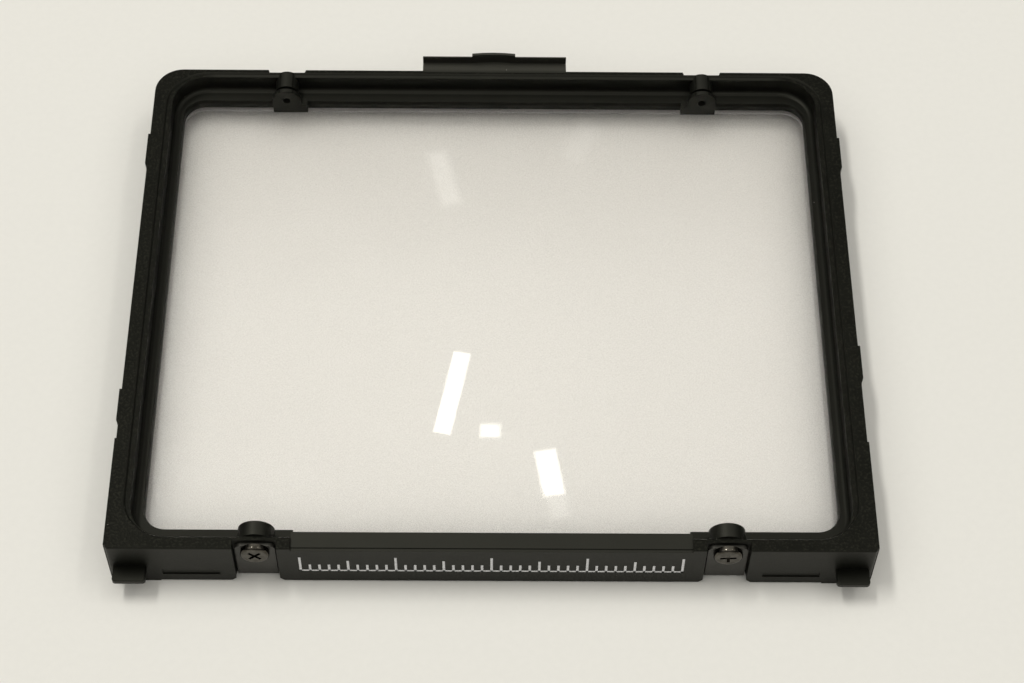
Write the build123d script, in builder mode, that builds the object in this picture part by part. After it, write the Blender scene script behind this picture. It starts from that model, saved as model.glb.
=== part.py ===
"""Interchangeable focusing-screen unit of a medium-format reflex camera.

A moulded frame holds a stack of clear plates from below.  A sheet-metal retaining frame closes the
stack: its two forked rear tabs straddle pins on the rear wall, and its two front tabs are screwed to
bosses.

Origin: centre of the unit on the plane that its feet stand on.  X to the right, Y to the rear, Z up.
"""

import os

from build123d import *

os.makedirs("parts", exist_ok=True)

# ---------------------------------------------------------------- driving dimensions, mm
frame_width = 80.08  # across the side walls
frame_depth = 64.6  # front face to rear face
frame_height = 6.8  # height of the walls above the feet
foot_height = 0.2
rear_corner_radius = 3.2
front_corner_radius = 0.4
top_edge_radius = 0.18

# light well above the seat ledge, and the clear window through the ledge
well_half_width = 37.85
well_front = -30.8
well_rear = 31.2
well_corner_radius = 4.0
side_step_width = 0.55  # shallow step around the well on the sides and the rear
rear_step_width = 0.42
step_depth = 0.2
step_chamfer = 0.16  # on the rail's inner edge
window_half_width = 36.69
window_front = -28.51
window_rear = 29.4
window_corner_radius = 2.4
ledge_top = 4.5
ledge_foot_radius = 0.6  # hollow where the well's walls meet the ledge
ledge_bevel_width = 0.15  # at the window's edge
ledge_bevel_height = 0.4
ledge_bottom = 3.4  # the cover plate is pressed up against this face

# bay below the ledge, which holds the optical stack
bay_half_width = 38.4
bay_front = -30.3
bay_rear = 30.6
bay_corner_radius = 1.0
fit_gap = 0.15  # between the stack and the bay's walls

# plates, from the top of the stack to its bottom
cover_thickness = 1.4
spacer_thickness = 0.15
matte_thickness = 0.5
fresnel_thickness = 0.45
cushion_thickness = 0.2
sheet_thickness = 0.4  # retaining frame
rail_width = 1.6  # of the retaining frame, and of the cushion strips less their gaps

# tab stations, the same x at the front and the rear
station_x = 24.6
station_z = 5.5
front_pocket_width = 4.6
front_pocket_depth = 1.0
rear_pocket_width = 4.15
rear_pocket_depth = 0.5
rear_pocket_draft = 19.0  # degrees, of the rear pockets' sides
pocket_flare = 0.45  # bevel where a pocket runs out through the underside
tab_side_gap = 0.2  # between a tab and each side of its pocket
tab_top = 6.5
tab_corner_radius = 0.7
tab_foot_length = 1.0
tab_bend_radius = 0.35
front_tab_hole_radius = 0.95
rear_fork_radius = 1.2
rear_pin_radius = 1.1
screw_head_radius = 1.53
screw_head_height = 0.65
screw_dome = 0.3
screw_shank_radius = 0.68
screw_shank_length = 1.9
thread_bore_radius = 0.7
cross_length = 1.7
cross_width = 0.34
cross_depth = 0.28
cross_angles = {"left": 45.0, "right": 4.0}  # degrees, as the two screws came to rest

# bosses
front_boss_radius = 1.93
front_boss_end = -29.2
rear_boss_radius = 1.33
rear_hump_top = 7.2  # the barrel's rounded top stands above the rail
rear_neck_radius = 1.05  # groove between the barrel and the end disc
rear_neck_length = 0.35
rear_disc_radius = 1.68
rear_disc_thickness = 0.5
rear_boss_end = 28.7
rear_foot_width = 4.0  # block under each rear disc, which bears on the cover plate
rear_foot_x = 24.2
rear_foot_top = 4.85
rear_foot_depth = 0.9
rear_hole_radius = 0.48
rear_hole_depth = 1.6

# centre panel of the front rail
panel_half_width = 20.9
panel_drop = 0.4
panel_rear = -30.05
panel_line_y = -31.95
panel_line_width = 0.12
panel_line_depth = 0.12
ledge_relief = 0.4

# front hooks
hook_inner_x = 36.1
hook_outer_x = 39.6
hook_top = 3.2
hook_thickness = 0.6
hook_reach = 1.8
hook_root = 0.5
hook_corner_radius = 0.35
hook_edge_radius = 0.15

# slots in the front face
slot_inner_x = 28.5
slot_length = 6.05
slot_bottom = 1.4
slot_height = 1.0
slot_depth = 0.14

# rear finger tab
finger_tab_width = 17.0
finger_tab_front = 31.95
finger_tab_rise = 0.05
finger_lip_y = 33.42
finger_lip_top = 8.05
finger_lip_crest = 0.15
finger_tab_rear = 34.1
finger_tab_bottom = 5.8
finger_lip_shoulder = 7.3
finger_tab_corner_radius = 0.2
thumb_half_width = 2.55
thumb_x = -0.1
thumb_top = 8.4
thumb_bow = 0.16
thumb_thickness = 0.32

# side guides: (x side, rear end y, front end y)
guide_projection = 0.21
guide_bevel = 0.5
side_guides = [(-1, 22.4, 17.6), (1, 22.4, 17.6), (-1, -12.8, -17.2), (1, -6.7, -11.4)]
cheek_projection = 0.14
cheek_rear = -19.0

# feet under the corners
foot_width = 5.15
foot_length = 4.5
foot_inset = 1.2

# ---------------------------------------------------------------- derived levels and places
half_width = frame_width / 2
front_y = -frame_depth / 2
rear_y = frame_depth / 2
foot_front = front_y
foot_rear = rear_y - foot_inset
body_bottom = foot_height
body_top = body_bottom + frame_height
panel_top = body_top - panel_drop
cut_margin = 1.0  # cuts run this far past the faces they open
face_tolerance = 0.01  # for finding a face by its level

sheet_bottom = body_bottom + 0.1
sheet_top = sheet_bottom + sheet_thickness
fresnel_bottom = sheet_top + cushion_thickness
matte_bottom = fresnel_bottom + fresnel_thickness
spacer_bottom = matte_bottom + matte_thickness
cover_bottom = spacer_bottom + spacer_thickness

front_pocket_y = front_y + front_pocket_depth
rear_pocket_y = rear_y - rear_pocket_depth
stack_half_width = bay_half_width - fit_gap
stack_front = bay_front + fit_gap
stack_rear = bay_rear - fit_gap
stations = [(-station_x, station_z), (station_x, station_z)]


def window_sketch(half, front, rear, radius):
    """Rounded rectangle symmetric in x, between two y values, on the current workplane."""
    middle = (front + rear) / 2
    with Locations((0, middle)):
        RectangleRounded(2 * half, rear - front, radius)


def box_between(low, high, mode=Mode.ADD):
    """Box between two opposite corners."""
    size = [b - a for a, b in zip(low, high)]
    centre = tuple((a + b) / 2 for a, b in zip(low, high))
    with Locations(centre):
        Box(*size, mode=mode)


def facing_front(y):
    """Plane at a given y; its normal points to the front, and its local y is the part's z."""
    return Plane.XZ.offset(-y)


def finish(builder, name):
    """Label a finished sub-part and write its STEP file."""
    builder.part.label = name
    export_step(builder.part, f"parts/{name}.step")


def thumb_arc(y):
    """Arc of the bowed lip at one of its faces, from left to right."""
    left = (thumb_x - thumb_half_width, y)
    right = (thumb_x + thumb_half_width, y)
    ThreePointArc(left, (thumb_x, y + thumb_bow), right)
    return left, right


# ---------------------------------------------------------------- front hook, moulded in one with the frame
with BuildPart() as right_hook:
    with BuildSketch(Plane.XY.offset(hook_top - hook_thickness)) as hook_outline:
        with Locations(((hook_inner_x + hook_outer_x) / 2, front_y + (hook_root - hook_reach) / 2)):
            Rectangle(hook_outer_x - hook_inner_x, hook_reach + hook_root)
        fillet(hook_outline.vertices().group_by(Axis.Y)[0], hook_corner_radius)
    extrude(amount=hook_thickness)
    rounded_edges = right_hook.faces().sort_by(Axis.Z)[-1].edges().sort_by(Axis.Y)[:-1]
    fillet(rounded_edges, hook_edge_radius)

# ---------------------------------------------------------------- main frame
with BuildPart() as main_frame:
    with BuildSketch(Plane.XY.offset(body_bottom)) as outline:
        Rectangle(frame_width, frame_depth)
        corners = outline.vertices().group_by(Axis.Y)
        fillet(corners[-1], rear_corner_radius)
        fillet(outline.vertices().group_by(Axis.Y)[0], front_corner_radius)
    extrude(amount=frame_height)
    fillet(main_frame.faces().sort_by(Axis.Z)[-1].edges(), top_edge_radius)

    # cheeks: the side walls are slightly thicker towards the front
    for side in (-1, 1):
        cheek_edge = side * (half_width + cheek_projection)
        wall_inside = side * (half_width - cheek_projection)
        low_x, high_x = sorted((cheek_edge, wall_inside))
        box_between((low_x, front_y + front_corner_radius, body_bottom), (high_x, cheek_rear, body_top))

    # guide bumps on the side walls, stepped at the rear end and bevelled at the front end
    for side, guide_rear, guide_front in side_guides:
        guide_edge = side * (half_width + guide_projection)
        wall_inside = side * (half_width - guide_projection)
        with BuildSketch(Plane.XY.offset(body_bottom)):
            with BuildLine():
                Polyline(
                    (wall_inside, guide_rear),
                    (guide_edge, guide_rear),
                    (guide_edge, guide_front + guide_bevel),
                    (side * half_width, guide_front),
                    (wall_inside, guide_front),
                    close=True,
                )
            make_face()
        extrude(amount=frame_height)

    # feet, set in from the rounded rear corners
    for side in (-1, 1):
        for corner_inset, outer_y, inner_y in (
            (front_corner_radius, foot_front, foot_front + foot_length),
            (foot_inset, foot_rear, foot_rear - foot_length),
        ):
            low_x, high_x = sorted((side * (half_width - foot_width), side * (half_width - corner_inset)))
            low_y, high_y = sorted((outer_y, inner_y))
            box_between((low_x, low_y, 0), (high_x, high_y, body_bottom))

    # light well with its shallow step
    with BuildSketch(Plane.XY.offset(ledge_top)):
        window_sketch(well_half_width, well_front, well_rear, well_corner_radius)
    extrude(amount=body_top + cut_margin - ledge_top, mode=Mode.SUBTRACT)
    with BuildSketch(Plane.XY.offset(body_top - step_depth)):
        window_sketch(
            well_half_width + side_step_width,
            well_front,
            well_rear + rear_step_width,
            well_corner_radius + side_step_width,
        )
    extrude(amount=step_depth + cut_margin, mode=Mode.SUBTRACT)
    rail = main_frame.faces().sort_by(Axis.Z)[-1]
    chamfer(rail.inner_wires()[0].edges(), step_chamfer)

    # hollow at the foot of the walls, the window with its bevelled edge, and the bay for the optics
    ledge_level = (ledge_top - face_tolerance, ledge_top + face_tolerance)
    well_floor = main_frame.faces().filter_by_position(Axis.Z, *ledge_level)[0]
    fillet(well_floor.outer_wire().edges(), ledge_foot_radius)
    with BuildSketch(Plane.XY.offset(body_bottom)):
        window_sketch(window_half_width, window_front, window_rear, window_corner_radius)
    extrude(amount=ledge_top, mode=Mode.SUBTRACT)
    ledge = main_frame.faces().filter_by_position(Axis.Z, *ledge_level)[0]
    window_edges = ledge.inner_wires()[0].edges()
    chamfer(window_edges, ledge_bevel_width, ledge_bevel_height, reference=ledge)
    with BuildSketch(Plane.XY.offset(ledge_bottom)):
        window_sketch(bay_half_width, bay_front, bay_rear, bay_corner_radius)
    extrude(amount=-(ledge_bottom + cut_margin), mode=Mode.SUBTRACT)

    # centre panel of the front rail: wider than the rail beside it, and lower
    box_between((-panel_half_width, well_front, ledge_bottom), (panel_half_width, panel_rear, panel_top))
    box_between(
        (-panel_half_width, front_y - cut_margin, panel_top),
        (panel_half_width, panel_rear, body_top + cut_margin),
        mode=Mode.SUBTRACT,
    )
    box_between(
        (-panel_half_width, panel_line_y - panel_line_width / 2, panel_top - panel_line_depth),
        (panel_half_width, panel_line_y + panel_line_width / 2, panel_top),
        mode=Mode.SUBTRACT,
    )
    box_between(
        (-panel_half_width, window_front - ledge_relief, body_bottom),
        (panel_half_width, window_front, ledge_top),
        mode=Mode.SUBTRACT,
    )

    # front bosses, which stand above the rail only inside the well
    with BuildSketch(facing_front(front_boss_end)):
        with Locations(stations):
            Circle(front_boss_radius)
    extrude(amount=front_boss_end - front_pocket_y)
    for x, _ in stations:
        box_between(
            (x - front_boss_radius, front_y - cut_margin, body_top),
            (x + front_boss_radius, well_front, body_top + cut_margin),
            mode=Mode.SUBTRACT,
        )

    # rear bosses: barrel, neck, end disc, and the block that bears on the cover plate
    neck_front = rear_boss_end + rear_disc_thickness
    barrel_front = neck_front + rear_neck_length
    for section_front, section_rear, section_radius in (
        (rear_boss_end, neck_front, rear_disc_radius),
        (neck_front, barrel_front, rear_neck_radius),
    ):
        with BuildSketch(facing_front(section_front)):
            with Locations(stations):
                Circle(section_radius)
        extrude(amount=section_front - section_rear)
    barrel_bottom = station_z - rear_boss_radius
    with BuildSketch(facing_front(barrel_front)):
        with Locations([(x, (barrel_bottom + rear_hump_top) / 2) for x, _ in stations]):
            SlotOverall(rear_hump_top - barrel_bottom, 2 * rear_boss_radius, rotation=90)
    extrude(amount=barrel_front - rear_pocket_y)
    with BuildSketch(facing_front(rear_boss_end)):
        for x, z in stations:
            with Locations((x, (z + ledge_bottom) / 2)):
                Rectangle(2 * rear_disc_radius, z - ledge_bottom)
            foot_centre = rear_foot_x if x > 0 else -rear_foot_x
            with Locations((foot_centre, (rear_foot_top + ledge_bottom) / 2)):
                Rectangle(rear_foot_width, rear_foot_top - ledge_bottom)
    extrude(amount=-rear_foot_depth)

    # tab pockets, open at the top and flared at the bottom, with a way in for the tab's foot
    for pocket_y, wall_y, outward, pocket_width, draft in (
        (front_pocket_y, bay_front, 1, front_pocket_width, 0.0),
        (rear_pocket_y, bay_rear, -1, rear_pocket_width, rear_pocket_draft),
    ):
        with BuildSketch(facing_front(pocket_y)):
            for x, _ in stations:
                half = pocket_width / 2
                with BuildLine():
                    Polyline(
                        (x - half, body_top + cut_margin),
                        (x - half, body_bottom + pocket_flare),
                        (x - half - pocket_flare, body_bottom),
                        (x - half - pocket_flare, 0),
                        (x + half + pocket_flare, 0),
                        (x + half + pocket_flare, body_bottom),
                        (x + half, body_bottom + pocket_flare),
                        (x + half, body_top + cut_margin),
                        close=True,
                    )
                make_face()
        extrude(amount=outward * (front_pocket_depth + cut_margin), taper=-draft, mode=Mode.SUBTRACT)
        with BuildSketch(facing_front(wall_y)):
            with Locations([(x, sheet_top / 2) for x, _ in stations]):
                Rectangle(pocket_width, sheet_top + fit_gap)
        extrude(amount=outward * (abs(pocket_y - wall_y) + cut_margin), mode=Mode.SUBTRACT)

    # blind screw holes in the front bosses
    with BuildSketch(facing_front(front_pocket_y)):
        with Locations(stations):
            Circle(thread_bore_radius)
    extrude(amount=-screw_shank_length, mode=Mode.SUBTRACT)

    # pins for the rear tabs, and a blind core hole in each rear disc
    with BuildSketch(facing_front(rear_pocket_y)):
        with Locations(stations):
            Circle(rear_pin_radius)
    extrude(amount=-(rear_y - rear_pocket_y))
    with BuildSketch(facing_front(rear_boss_end)):
        with Locations(stations):
            Circle(rear_hole_radius)
    extrude(amount=-rear_hole_depth, mode=Mode.SUBTRACT)

    # hooks at the foot of the front face
    add(right_hook.part)
    add(right_hook.part.mirror(Plane.YZ))

    # slots in the front face
    with BuildSketch(facing_front(front_y + slot_depth)):
        slot_x = slot_inner_x + slot_length / 2
        with Locations([(side * slot_x, slot_bottom + slot_height / 2) for side in (-1, 1)]):
            Rectangle(slot_length, slot_height)
    extrude(amount=slot_depth + cut_margin, mode=Mode.SUBTRACT)

    # finger tab: flat plate with a ratchet-shaped lip, and a taller bowed lip in its middle
    pad_top = body_top + finger_tab_rise
    with BuildSketch(Plane.YZ.offset(-finger_tab_width / 2)):
        with BuildLine():
            Polyline(
                (finger_tab_front, body_top - top_edge_radius),
                (finger_tab_front, pad_top),
                (finger_lip_y, pad_top),
                (finger_lip_y, finger_lip_top),
                (finger_lip_y + finger_lip_crest, finger_lip_top),
                (finger_tab_rear, finger_lip_shoulder),
                (finger_tab_rear, finger_tab_bottom),
                (finger_tab_front, finger_tab_bottom),
                close=True,
            )
        make_face()
    extrude(amount=finger_tab_width)
    lip_corners = main_frame.edges().filter_by(Axis.Z).group_by(Axis.Y)[-1]
    fillet(lip_corners, finger_tab_corner_radius)
    with BuildSketch(Plane.XY.offset(pad_top)):
        with BuildLine():
            left, right = thumb_arc(finger_lip_y)
            Line(right, left)
        make_face()
    extrude(amount=thumb_top - pad_top, mode=Mode.SUBTRACT)
    with BuildSketch(Plane.XY.offset(pad_top)):
        with BuildLine():
            left, right = thumb_arc(finger_lip_y)
            left_back, right_back = thumb_arc(finger_lip_y + thumb_thickness)
            Line(right, right_back)
            Line(left_back, left)
        make_face()
    extrude(amount=thumb_top - pad_top)
finish(main_frame, "main_frame")

# ---------------------------------------------------------------- optical stack
plate_corner_radius = bay_corner_radius - fit_gap
plates = [
    ("cover_plate", cover_bottom, cover_thickness),
    ("matte_screen", matte_bottom, matte_thickness),
    ("fresnel_screen", fresnel_bottom, fresnel_thickness),
]
for plate_name, plate_bottom, plate_thickness in plates:
    with BuildPart() as plate:
        with BuildSketch(Plane.XY.offset(plate_bottom)):
            window_sketch(stack_half_width, stack_front, stack_rear, plate_corner_radius)
        extrude(amount=plate_thickness)
    finish(plate, plate_name)

with BuildPart() as spacer_frame:
    with BuildSketch(Plane.XY.offset(spacer_bottom)):
        window_sketch(stack_half_width, stack_front, stack_rear, plate_corner_radius)
        with Locations((0, (window_front + window_rear) / 2)):
            RectangleRounded(
                2 * (window_half_width + fit_gap),
                window_rear - window_front + 2 * fit_gap,
                window_corner_radius,
                mode=Mode.SUBTRACT,
            )
    extrude(amount=spacer_thickness)
finish(spacer_frame, "spacer_frame")

# ---------------------------------------------------------------- cushion strips under the stack
strip_width = rail_width - 4 * fit_gap
strip_front_y = stack_front + fit_gap
strip_rear_y = stack_rear - fit_gap
strip_x = stack_half_width - fit_gap
end_clearance = strip_width + fit_gap
cushion_strips = {
    "cushion_strip_front": ((-strip_x, strip_front_y), (strip_x, strip_front_y + strip_width)),
    "cushion_strip_rear": ((-strip_x, strip_rear_y - strip_width), (strip_x, strip_rear_y)),
    "cushion_strip_left": (
        (-strip_x, strip_front_y + end_clearance),
        (-strip_x + strip_width, strip_rear_y - end_clearance),
    ),
    "cushion_strip_right": (
        (strip_x - strip_width, strip_front_y + end_clearance),
        (strip_x, strip_rear_y - end_clearance),
    ),
}
for strip_name, (low, high) in cushion_strips.items():
    with BuildPart() as strip:
        box_between((*low, sheet_top), (*high, fresnel_bottom))
    finish(strip, strip_name)

# ---------------------------------------------------------------- retaining frame with its four tabs
with BuildPart() as retaining_frame:
    with BuildSketch(Plane.XY.offset(sheet_bottom)):
        window_sketch(stack_half_width, stack_front, stack_rear, plate_corner_radius)
        with Locations((0, (stack_front + stack_rear) / 2)):
            RectangleRounded(
                2 * (stack_half_width - rail_width),
                stack_rear - stack_front - 2 * rail_width,
                window_corner_radius,
                mode=Mode.SUBTRACT,
            )
    extrude(amount=sheet_thickness)

    for tab_inside, outward, rail_edge, pocket_width in (
        (front_pocket_y, -1, stack_front, front_pocket_width),
        (rear_pocket_y, 1, stack_rear, rear_pocket_width),
    ):
        tab_width = pocket_width - 2 * tab_side_gap
        tab_outside = tab_inside + outward * sheet_thickness
        rail_inside = rail_edge - outward * tab_foot_length
        for x, _ in stations:
            with BuildSketch(Plane.YZ.offset(x - tab_width / 2)) as strap:
                with BuildLine():
                    Polyline(
                        (rail_inside, sheet_bottom),
                        (tab_outside, sheet_bottom),
                        (tab_outside, tab_top),
                        (tab_inside, tab_top),
                        (tab_inside, sheet_top),
                        (rail_inside, sheet_top),
                        close=True,
                    )
                make_face()
                bend = strap.vertices().sort_by_distance((tab_outside, sheet_bottom, 0))[0]
                fillet(bend, tab_bend_radius)
            extrude(amount=tab_width)
    fillet(retaining_frame.edges().filter_by(Axis.Y).group_by(Axis.Z)[-1], tab_corner_radius)

    # screw holes in the front tabs, and forks in the rear tabs
    with BuildSketch(facing_front(front_y)):
        with Locations(stations):
            Circle(front_tab_hole_radius)
    extrude(amount=-front_pocket_depth, mode=Mode.SUBTRACT)
    with BuildSketch(facing_front(rear_pocket_y)):
        with Locations(stations):
            Circle(rear_fork_radius)
        with Locations([(x, z + cut_margin) for x, z in stations]):
            Rectangle(2 * rear_fork_radius, 2 * cut_margin)
    extrude(amount=-(rear_y - rear_pocket_y), mode=Mode.SUBTRACT)
finish(retaining_frame, "retaining_frame")

# ---------------------------------------------------------------- screws
for side_name, seat_x in (("left", -station_x), ("right", station_x)):
    seat_y = front_pocket_y - sheet_thickness
    seat = Plane(origin=(seat_x, seat_y, station_z), x_dir=(1, 0, 0), z_dir=(0, -1, 0))
    cross_angle = cross_angles[side_name]
    with BuildPart() as screw:
        with BuildSketch(seat):
            Circle(screw_head_radius)
        extrude(amount=screw_head_height)
        rim = screw.edges().filter_by(GeomType.CIRCLE).sort_by(Axis.Y)[0]
        fillet(rim, screw_dome)
        with BuildSketch(seat):
            Circle(screw_shank_radius)
        extrude(amount=-screw_shank_length)
        with BuildSketch(seat.offset(screw_head_height)):
            Rectangle(cross_length, cross_width, rotation=cross_angle)
            Rectangle(cross_width, cross_length, rotation=cross_angle)
        extrude(amount=-cross_depth, mode=Mode.SUBTRACT)
    finish(screw, f"front_screw_{side_name}")
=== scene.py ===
"""Looks of a focusing-screen unit: materials, printed scale, floor, light and camera.

A name that ends in _mm holds millimetres. Other lengths are in metres, and angles are in degrees.
"""

import math

import bmesh
import bpy
from mathutils import Matrix, Vector


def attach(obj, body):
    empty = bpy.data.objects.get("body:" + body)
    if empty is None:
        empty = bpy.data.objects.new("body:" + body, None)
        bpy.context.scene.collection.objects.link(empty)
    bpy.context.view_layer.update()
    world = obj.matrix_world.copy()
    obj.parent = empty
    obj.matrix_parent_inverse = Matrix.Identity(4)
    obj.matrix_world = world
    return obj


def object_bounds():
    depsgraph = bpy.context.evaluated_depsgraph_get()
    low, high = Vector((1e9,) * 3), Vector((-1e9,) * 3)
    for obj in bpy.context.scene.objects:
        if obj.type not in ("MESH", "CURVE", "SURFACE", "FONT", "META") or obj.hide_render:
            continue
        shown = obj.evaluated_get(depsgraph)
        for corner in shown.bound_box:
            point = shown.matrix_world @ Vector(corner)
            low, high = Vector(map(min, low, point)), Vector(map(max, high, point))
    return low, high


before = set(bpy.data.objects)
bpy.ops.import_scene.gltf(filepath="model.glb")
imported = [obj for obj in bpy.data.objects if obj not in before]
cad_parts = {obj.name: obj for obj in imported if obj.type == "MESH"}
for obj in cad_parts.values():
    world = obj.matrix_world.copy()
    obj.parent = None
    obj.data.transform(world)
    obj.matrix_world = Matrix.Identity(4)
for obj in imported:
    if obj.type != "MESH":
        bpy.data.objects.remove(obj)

cad_low, cad_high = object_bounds()
MM = 0.001

# ---------------------------------------------------------------- places on the unit
hook_reach_mm = 1.8  # the hooks stand this far in front of the front face
tab_reach_mm = 1.8  # and the finger tab this far behind the rear one
front_face = cad_low[1] + hook_reach_mm * MM
front_face_mm = front_face / MM
rear_face_mm = cad_high[1] / MM - tab_reach_mm
rail_top_mm = 7.0  # level of the grained rail tops
rail_grain_mm = 6.90  # the grain covers level faces above this,
side_grain_mm = 6.70  # and on the side walls, with their shallow steps, above this
grain_edge_mm = 0.01
side_walls_mm = (32.5, 35.0)  # distance from the middle over which the side walls take over
ledge_below_mm = 5.0  # level faces lower than this belong to the seat ledge

# ---------------------------------------------------------------- camera
camera_place = Vector((0.000157, -0.1459, 0.21613))
camera_heading = 0.795  # to the right of straight back
camera_pitch = 56.291  # below the horizon
camera_roll = -0.971
camera_near = 0.01
lens_mm = 80.67
sensor_width_mm = 36.0

# ---------------------------------------------------------------- floor and light
# A direction is given by its slopes x/z and y/z, seen from the unit.
floor_half = 0.9
paper_colour = (0.800, 0.788, 0.753)
light_colour = (1.0, 0.985, 0.93)
ceiling_radiance = 1.02
room_radiance = 0.10  # of the walls
low_radiance = 0.04  # of the walls at the horizon
wall_fade = 0.35  # height of a unit direction at which the walls reach room_radiance
horizon_guard = 0.02  # keeps the slopes finite near the horizon
ceiling_front = (-1.8, -1.1)  # y/z over which the bright ceiling begins
ceiling_rear = (0.68, 0.81)  # y/z over which it ends
ceiling_side = (0.85, 1.5)  # x/z over which it ends on both sides

# lamps along the ceiling: slopes of the centre, height, width, length, radiance
ceiling_lamps = {
    "ceiling_left": ((-0.35, 0.18), 2.5, 0.25, 1.1, 31.0),
    "ceiling_right": ((0.5, 0.18), 3.0, 0.3, 1.1, 8.0),
}

# lamps reflected in the cover plate: slopes of the centre, width and length per metre of height,
# turn, radiance
window_glints = {
    "glint_band": ((-0.0245, 0.627), 0.0084, 0.0553, -11.5, 13.0),
    "glint_square": ((-0.002, 0.6008), 0.0101, 0.0072, 0.0, 9.0),
    "glint_patch": ((0.0323, 0.5727), 0.0106, 0.0285, 10.0, 11.0),
    "glint_tail": ((0.0371, 0.5500), 0.0106, 0.0150, 10.0, 1.0),
    "glint_left": ((-0.0319, 0.7860), 0.012, 0.042, 14.0, 1.2),
    "glint_right": ((0.0540, 0.815), 0.014, 0.032, -25.0, 0.5),
}
glint_height = 1.5
soft_edges = (1.3, 1.1, 0.9, 0.7)  # each glint is four lamps of these relative widths, for a soft edge
soft_edge_gap = 0.01  # between the heights of these four

# ---------------------------------------------------------------- limits used by the finishes
noise_span = (0.3, 0.7)  # nearly all of a noise texture lies between these
flat_likeness = 0.97  # cosine between a face's normal and its rounded one, away from edges
edge_likeness = 0.80  # and on a sharp edge
level_cosine = 0.8  # a face counts as level when its normal's z is above this,
upright_cosine = 0.2  # and as upright when it is below this


# ---------------------------------------------------------------- node trees
class NodeTree:
    """A node tree under construction; every method from math on returns an output socket."""

    def __init__(self, tree):
        self.tree = tree

    def feed(self, socket, value):
        """Link a socket to another, or set its value."""
        if isinstance(value, bpy.types.NodeSocket):
            self.tree.links.new(value, socket)
        elif value is not None:
            if socket.type == "RGBA" and len(value) == 3:
                value = (*value, 1.0)
            socket.default_value = value

    def node(self, kind, inputs=None, **settings):
        made = self.tree.nodes.new("ShaderNode" + kind)
        for key, value in settings.items():
            setattr(made, key, value)
        for key, value in (inputs or {}).items():
            self.feed(made.inputs[key], value)
        return made

    def math(self, operation, *values):
        return self.node("Math", dict(enumerate(values)), operation=operation).outputs[0]

    def times(self, value, *others):
        """Product of sockets and numbers."""
        for other in others:
            value = self.math("MULTIPLY", value, other)
        return value

    def parts(self, vector):
        """The three parts of a vector, as three sockets."""
        return tuple(self.node("SeparateXYZ", {0: vector}).outputs)

    def fade(self, value, low, high, to_low=0.0, to_high=1.0):
        """Smooth step from to_low to to_high as value goes from low to high."""
        ends = {"Value": value, "From Min": low, "From Max": high, "To Min": to_low, "To Max": to_high}
        return self.node("MapRange", ends, interpolation_type="SMOOTHSTEP").outputs["Result"]


class Finish(NodeTree):
    """A material under construction."""

    def __init__(self, name):
        self.material = bpy.data.materials.new(name)
        self.material.use_nodes = True
        super().__init__(self.material.node_tree)
        self.tree.nodes.clear()
        self.output = self.tree.nodes.new("ShaderNodeOutputMaterial")

    def place_mm(self):
        """Place on the object, in millimetres in the row frame."""
        coordinates = self.node("TexCoord").outputs["Object"]
        scaled = self.node("VectorMath", {0: coordinates, 1: (1.0 / MM,) * 3}, operation="MULTIPLY")
        return scaled.outputs[0]

    def own_normal(self):
        """Normal of the face itself."""
        return self.node("NewGeometry").outputs["True Normal"]

    def rounded_normal(self, radius_mm, samples=6):
        """Normal that rounds off sharp edges."""
        return self.node("Bevel", {"Radius": radius_mm * MM}, samples=samples).outputs[0]

    def edges(self, radius_mm):
        """1 along sharp edges, where the rounded normal leaves the face's own."""
        normals = {0: self.rounded_normal(radius_mm), 1: self.own_normal()}
        likeness = self.node("VectorMath", normals, operation="DOT_PRODUCT").outputs["Value"]
        return self.fade(likeness, flat_likeness, edge_likeness)

    def noise(self, place, per_mm, detail=2.0, roughness=0.5, distortion=0.0):
        inputs = {"Vector": place, "Scale": per_mm, "Detail": detail, "Roughness": roughness}
        return self.node("TexNoise", {**inputs, "Distortion": distortion}).outputs["Fac"]

    def spread(self, noise, to_low=0.0, to_high=1.0):
        """Spread a noise's usual span over to_low to to_high."""
        return self.fade(noise, *noise_span, to_low, to_high)

    def blend(self, factor, low, high):
        """Colour between two colours."""
        made = self.node("Mix", data_type="RGBA")
        self.feed(made.inputs["Factor"], factor)
        self.feed(made.inputs[6], low)
        self.feed(made.inputs[7], high)
        return made.outputs[2]

    def bump(self, height, depth_mm, strength=1.0, normal=None):
        inputs = {"Height": height, "Distance": depth_mm * MM, "Strength": strength, "Normal": normal}
        return self.node("Bump", inputs).outputs[0]

    def shader(self, kind, inputs):
        return self.node("Bsdf" + kind, inputs).outputs[0]

    def mix_shader(self, factor, low, high):
        return self.node("MixShader", {0: factor, 1: low, 2: high}).outputs[0]

    def surface(self, shader):
        """The finished material."""
        self.tree.links.new(shader, self.output.inputs["Surface"])
        return self.material


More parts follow.
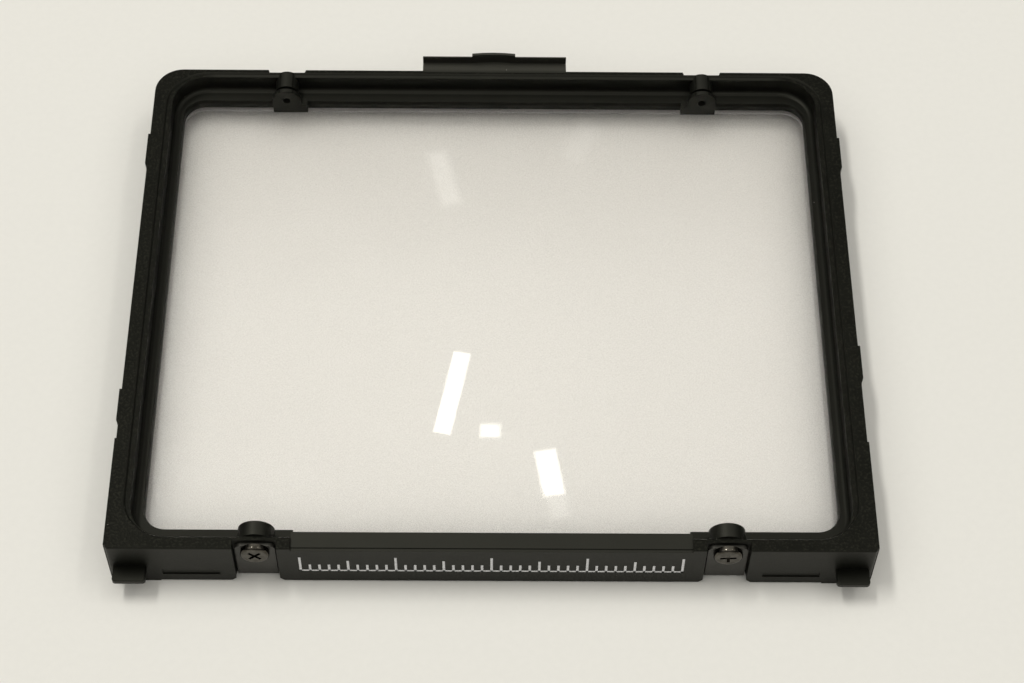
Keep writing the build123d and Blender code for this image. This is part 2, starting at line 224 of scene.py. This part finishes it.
# ---------------------------------------------------------------- finishes
def moulded_black():
    """Black moulding: grained rail tops, a lighter, glossier finger tab, smooth satin everywhere else.
    """
    deep_black = (0.0026, 0.0028, 0.0020)
    pale_black = (0.0040, 0.0042, 0.0031)
    # tone of the grain peaks: partly the grain's own lighter tone, partly painted sparkle
    grain_peak_and_sparkle = (0.017, 0.017, 0.0125)
    # lighter edge tone: partly wear, partly a painted highlight along the edges
    worn_edge_and_highlight = (0.020, 0.020, 0.016)
    tab_tone = (0.0125, 0.0122, 0.0100)
    dust = (0.20, 0.195, 0.18)
    grain_over_mm = 0.025  # the grain stops this far above the rail tops
    hook_root_mm = front_face_mm - 0.005  # the hooks begin just in front of the front face
    tab_root_mm = (rear_face_mm - 0.4, rear_face_mm + 0.2)  # and the finger tab between these
    specks_per_mm = 0.30
    speck_size = 0.016  # as a share of the distance between specks
    upright_gloss = 0.26
    level_gloss = 0.32
    grain_loss = 0.22
    ledge_loss = 0.12
    hook_loss = 0.75  # painted shade: share of the gloss taken away at the hooks' root, where the front face shades them
    tab_gloss_gain = 0.7

    f = Finish("moulded_black")
    place = f.place_mm()
    x, y, height = f.parts(place)
    facing_up = f.parts(f.own_normal())[2]
    level = f.math("GREATER_THAN", facing_up, level_cosine)
    on_rail = f.fade(height, rail_grain_mm, rail_grain_mm + grain_edge_mm)
    on_side = f.fade(height, side_grain_mm, side_grain_mm + grain_edge_mm)
    on_side = f.times(f.fade(f.math("ABSOLUTE", x), *side_walls_mm), on_side)
    below = f.math("LESS_THAN", height, rail_top_mm + grain_over_mm)
    grained = f.times(f.math("MAXIMUM", on_rail, on_side), below, level)
    on_ledge = f.times(level, f.math("LESS_THAN", height, ledge_below_mm))
    on_hook = f.math("LESS_THAN", y, hook_root_mm)
    on_tab = f.fade(y, *tab_root_mm)

    satin = f.noise(place, per_mm=9.0, detail=4.0, roughness=0.6)
    cloudy = f.noise(place, per_mm=0.35, detail=3.0)
    grain = f.noise(place, per_mm=3.6, detail=2.5, roughness=0.6)
    normal = f.rounded_normal(radius_mm=0.05, samples=4)
    normal = f.bump(satin, depth_mm=0.003, strength=0.5, normal=normal)
    normal = f.bump(f.times(grain, grained), depth_mm=0.06, normal=normal)

    colour = f.blend(f.spread(cloudy), deep_black, pale_black)
    # grain peaks lighter: partly grain tone, partly painted sparkle highlights
    peaks_and_sparkle = f.times(f.fade(grain, 0.5, 0.66), grained, 0.7)
    colour = f.blend(peaks_and_sparkle, colour, grain_peak_and_sparkle)
    # lighter along sharp edges in random patches: partly wear, partly painted edge highlight
    worn_and_highlit = f.times(f.edges(radius_mm=0.06), f.fade(cloudy, 0.35, 0.7, 0.15, 0.9), 0.3)
    colour = f.blend(worn_and_highlit, colour, worn_edge_and_highlight)
    # the finger tab is lighter in colour than the rest of the moulding
    colour = f.blend(on_tab, colour, tab_tone)
    inputs = {"Vector": place, "Scale": specks_per_mm, "Randomness": 1.0}
    specks = f.node("TexVoronoi", inputs, feature="F1").outputs["Distance"]
    speck = f.times(f.math("LESS_THAN", specks, speck_size), f.math("GREATER_THAN", facing_up, 0.9))
    colour = f.blend(speck, colour, dust)

    gloss = f.fade(facing_up, upright_cosine, level_cosine, upright_gloss, level_gloss)
    gloss = f.math("SUBTRACT", gloss, f.times(grained, grain_loss))
    gloss = f.math("SUBTRACT", gloss, f.times(on_ledge, ledge_loss))
    # painted shade on the hooks: their gloss fades out towards the root
    hook_shade = f.times(on_hook, f.fade(y, cad_low[1] / MM, front_face_mm, 0.0, hook_loss))
    gloss = f.times(gloss, f.math("SUBTRACT", 1.0, hook_shade))
    gloss = f.times(gloss, f.math("ADD", 1.0, f.times(on_tab, tab_gloss_gain)))
    inputs = {
        "Base Color": colour,
        "Roughness": f.spread(satin, 0.43, 0.52),
        "Specular IOR Level": gloss,
        "Specular Tint": (1.0, 0.99, 0.84),
        "Normal": normal,
    }
    return f.surface(f.shader("Principled", inputs))


def clear_plate():
    """Polished acrylic that bends what is seen through it and lets the light of lamps pass."""
    f = Finish("clear_plate")
    place = f.place_mm()
    smear = f.noise(place, per_mm=0.12, detail=3.0, distortion=0.6)
    inputs = {
        "Color": (0.998, 0.998, 0.996),
        "IOR": 1.49,
        "Roughness": f.fade(smear, 0.45, 0.65, 0.004, 0.016),
        "Normal": f.bump(f.noise(place, per_mm=0.25, detail=1.0), depth_mm=0.001, strength=0.3),
    }
    glass = f.shader("Glass", inputs)
    passing = f.shader("Transparent", {"Color": (1.0, 1.0, 0.995)})
    path = f.node("LightPath")
    lamp_ray = f.math("MAXIMUM", path.outputs["Is Shadow Ray"], path.outputs["Is Diffuse Ray"])
    return f.surface(f.mix_shader(lamp_ray, glass, passing))


def thin_sheet(name, gloss, roughness, haze, ring_depth_mm=0.0):
    """Thin screen: a soft sheen on the face it is seen by, over a mix of clear and scattering.

    With a ring depth it also has the concentric grooves of a Fresnel lens.
    """
    rings_per_mm = 8.0
    f = Finish(name)
    place = f.place_mm()
    cloudy = f.noise(place, per_mm=0.12, detail=3.0)
    tooth = f.noise(place, per_mm=12.0, detail=2.0)
    normal = f.bump(tooth, depth_mm=0.002, strength=0.4)
    if ring_depth_mm:
        x, y, _ = f.parts(place)
        radius = f.math("SQRT", f.math("ADD", f.times(x, x), f.times(y, y)))
        rings = f.math("FRACT", f.times(radius, rings_per_mm))
        normal = f.bump(rings, depth_mm=ring_depth_mm, normal=normal)
    see_through = f.shader("Transparent", {"Color": (1.0, 1.0, 0.998)})
    sheen_roughness = f.spread(cloudy, roughness, 1.3 * roughness)
    sheen = {"Color": (0.98, 0.98, 0.97), "Roughness": sheen_roughness, "Normal": normal}
    scatter = f.shader("Translucent", {"Color": (1.0, 0.988, 0.992), "Normal": normal})
    body = f.mix_shader(f.spread(tooth, 0.8 * haze, 1.2 * haze), see_through, scatter)
    front = f.math("SUBTRACT", 1.0, f.node("NewGeometry").outputs["Backfacing"])
    return f.surface(f.mix_shader(f.times(front, gloss), body, f.shader("Glossy", sheen)))


def screw_steel():
    """Dark plated steel with fine marks and brighter edges."""
    dark_plate = (0.045, 0.041, 0.033)
    pale_plate = (0.085, 0.078, 0.066)
    bright_edge = (0.30, 0.29, 0.26)
    f = Finish("screw_steel")
    place = f.place_mm()
    stain = f.noise(place, per_mm=1.6, detail=3.0)
    brushed = f.noise(place, per_mm=14.0, detail=2.0)
    colour = f.blend(f.spread(stain), dark_plate, pale_plate)
    inputs = {
        "Base Color": f.blend(f.times(f.edges(radius_mm=0.05), 0.25), colour, bright_edge),
        "Metallic": 1.0,
        "Roughness": f.spread(brushed, 0.12, 0.20),
        "Normal": f.bump(brushed, depth_mm=0.004, strength=0.6),
    }
    return f.surface(f.shader("Principled", inputs))


def painted_sheet():
    """Black-painted sheet metal."""
    dark_paint = (0.016, 0.015, 0.013)
    pale_paint = (0.026, 0.025, 0.022)
    f = Finish("black_sheet")
    place = f.place_mm()
    fine = f.noise(place, per_mm=10.0, detail=3.0)
    normal = f.rounded_normal(radius_mm=0.06)
    inputs = {
        "Base Color": f.blend(f.spread(f.noise(place, per_mm=0.8, detail=2.0)), dark_paint, pale_paint),
        "Roughness": f.spread(fine, 0.30, 0.42),
        "Specular IOR Level": 0.36,
        "Specular Tint": (1.0, 0.98, 0.88),
        "Normal": f.bump(fine, depth_mm=0.004, strength=0.5, normal=normal),
    }
    return f.surface(f.shader("Principled", inputs))


def cushion_foam():
    """Dull black foam with a fine cellular surface."""
    foam_colour = (0.016, 0.015, 0.014)
    f = Finish("cushion_foam")
    cells = f.noise(f.place_mm(), per_mm=5.0, detail=3.0, roughness=0.6)
    inputs = {
        "Base Color": f.blend(f.spread(cells), [0.7 * part for part in foam_colour], foam_colour),
        "Roughness": f.spread(cells, 0.7, 0.9),
        "Specular IOR Level": 0.3,
        "Normal": f.bump(cells, depth_mm=0.03, strength=0.8),
    }
    return f.surface(f.shader("Principled", inputs))


def white_print():
    """Screen-printed white, a little uneven in coverage."""
    thin_ink = (0.66, 0.66, 0.68)
    full_ink = (0.80, 0.80, 0.82)
    f = Finish("white_print")
    patchy = f.noise(f.place_mm(), per_mm=3.0, detail=4.0, roughness=0.6)
    inputs = {
        "Base Color": f.blend(f.fade(patchy, 0.35, 0.65), thin_ink, full_ink),
        "Roughness": f.spread(patchy, 0.45, 0.6),
        "Normal": f.bump(patchy, depth_mm=0.003, strength=0.5),
    }
    return f.surface(f.shader("Principled", inputs))


def paper():
    """Pale plain floor with a faint fibre texture."""
    f = Finish("paper")
    fibre = f.noise(f.place_mm(), per_mm=1.2, detail=4.0, roughness=0.6)
    inputs = {
        "Color": f.blend(f.spread(fibre), [0.985 * part for part in paper_colour], paper_colour),
        "Normal": f.bump(fibre, depth_mm=0.02, strength=0.3),
    }
    return f.surface(f.shader("Diffuse", inputs))


def dress(name, material):
    """Give a CAD node its finish, on the object's own slots."""
    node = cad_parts[name]
    if not node.material_slots:
        node.data.materials.append(material)
    for slot in node.material_slots:
        slot.link = "OBJECT"
        slot.material = material


# ---------------------------------------------------------------- materials on the unit
dress("main_frame", moulded_black())
dress("cover_plate", clear_plate())
dress("matte_screen", thin_sheet("matte_plate", gloss=0.08, roughness=0.17, haze=0.80))
fresnel_plate = thin_sheet("fresnel_plate", gloss=0.04, roughness=0.15, haze=0.03, ring_depth_mm=0.0015)
dress("fresnel_screen", fresnel_plate)
dress("spacer_frame", thin_sheet("milky_film", gloss=0.05, roughness=0.30, haze=0.85))
foam = cushion_foam()
for side in ("front", "rear", "left", "right"):
    dress(f"cushion_strip_{side}", foam)
dress("retaining_frame", painted_sheet())
steel = screw_steel()
for side in ("left", "right"):
    dress(f"front_screw_{side}", steel)

# ---------------------------------------------------------------- printed scale on the front face
scale_half_mm = 20  # each way from the middle
scale_bottom_mm = 2.3
tick_width_mm = 0.26
tick_heights_mm = {10: 2.9, 5: 2.2, 1: 1.35}  # at every tenth, fifth and single millimetre
base_line_mm = 0.24
ink_mm = 0.012  # the ink stands out this far,
ink_root_mm = 0.006  # and reaches this far into the face


def add_mesh(name, mesh, material):
    """Put a finished mesh into the scene."""
    data = bpy.data.meshes.new(name)
    mesh.to_mesh(data)
    mesh.free()
    data.materials.append(material)
    made = bpy.data.objects.new(name, data)
    bpy.context.scene.collection.objects.link(made)
    return made


def add_printed_scale():
    """Plain millimetre scale: ticks on a base line, as a thin raised film of ink."""
    half_tick_mm = tick_width_mm / 2
    bars = [(-scale_half_mm - half_tick_mm, scale_half_mm + half_tick_mm, base_line_mm)]
    for at in range(-scale_half_mm, scale_half_mm + 1):
        tall = next(height for step, height in tick_heights_mm.items() if at % step == 0)
        bars.append((at - half_tick_mm, at + half_tick_mm, tall))
    mesh = bmesh.new()
    for left, right, tall in bars:
        corners = ((left, 0.0), (right, 0.0), (right, tall), (left, tall))
        places = [
            Vector((x * MM, front_face - ink_mm * MM, (scale_bottom_mm + z) * MM)) for x, z in corners
        ]
        face = mesh.faces.new([mesh.verts.new(place) for place in places])
        back = bmesh.ops.extrude_face_region(mesh, geom=[face])["geom"]
        moved = [part for part in back if isinstance(part, bmesh.types.BMVert)]
        bmesh.ops.translate(mesh, verts=moved, vec=(0.0, (ink_mm + ink_root_mm) * MM, 0.0))
    bmesh.ops.recalc_face_normals(mesh, faces=mesh.faces)
    piece = add_mesh("printed_scale", mesh, white_print())
    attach(piece, "root")


add_printed_scale()


# ---------------------------------------------------------------- floor, light and camera
def add_floor():
    mesh = bmesh.new()
    bmesh.ops.create_grid(mesh, x_segments=2, y_segments=2, size=floor_half)
    floor = add_mesh("floor", mesh, paper())


def add_world():
    """Room: a broad bright ceiling that fades at its edges into darker walls."""
    world = bpy.data.worlds.new("room")
    world.use_nodes = True
    w = NodeTree(world.node_tree)
    right, back, up = w.parts(w.node("TexCoord").outputs["Generated"])
    above = w.math("MAXIMUM", up, horizon_guard)
    across = w.math("ABSOLUTE", w.math("DIVIDE", right, above))
    along = w.math("DIVIDE", back, above)
    inside = w.times(
        w.fade(along, *ceiling_front),
        w.fade(along, *ceiling_rear, 1.0, 0.0),
        w.fade(across, *ceiling_side, 1.0, 0.0),
    )
    room = w.fade(up, 0.0, wall_fade, low_radiance, room_radiance)
    ceiling = w.times(inside, ceiling_radiance - room_radiance)
    background = world.node_tree.nodes["Background"]
    w.feed(background.inputs["Strength"], w.math("ADD", room, ceiling))
    w.feed(background.inputs["Color"], light_colour)
    bpy.context.scene.world = world


def add_camera():
    heading, pitch, roll = (math.radians(angle) for angle in (camera_heading, camera_pitch, camera_roll))
    data = bpy.data.cameras.new("camera")
    data.lens = lens_mm
    data.sensor_width = sensor_width_mm
    data.clip_start = camera_near
    camera = bpy.data.objects.new("camera", data)
    turn = Matrix.Rotation(-heading, 4, "Z") @ Matrix.Rotation(math.pi / 2 - pitch, 4, "X")
    camera.matrix_world = Matrix.Translation(camera_place) @ turn @ Matrix.Rotation(-roll, 4, "Z")
    bpy.context.scene.collection.objects.link(camera)
    bpy.context.scene.camera = camera


def add_lamp(name, slopes, height, width, length, radiance, turn=0.0):
    """Rectangular lamp of even radiance, facing straight down."""
    data = bpy.data.lights.new(name, "AREA")
    data.shape = "RECTANGLE"
    data.size = width
    data.size_y = length
    data.color = light_colour
    data.energy = radiance * math.pi * width * length
    lamp = bpy.data.objects.new(name, data)
    place = Vector((*slopes, 1.0)) * height
    lamp.matrix_world = Matrix.Translation(place) @ Matrix.Rotation(math.radians(turn), 4, "Z")
    bpy.context.scene.collection.objects.link(lamp)


def add_glint(name, slopes, width, length, turn, radiance):
    """Lamp with a soft edge: nested lamps that share its radiance."""
    share = radiance / len(soft_edges)
    for number, grown in enumerate(soft_edges):
        height = glint_height + number * soft_edge_gap
        lamp_width = grown * width * height
        lamp_length = (length + (grown - 1.0) * width) * height
        add_lamp(f"{name}_{number}", slopes, height, lamp_width, lamp_length, share, turn)


add_floor()
add_world()
add_camera()
for name, lamp in ceiling_lamps.items():
    add_lamp(name, *lamp)
for name, glint in window_glints.items():
    add_glint(name, *glint)
bpy.context.scene.view_settings.view_transform = "Standard"
bpy.context.scene.cycles.transparent_max_bounces = 32
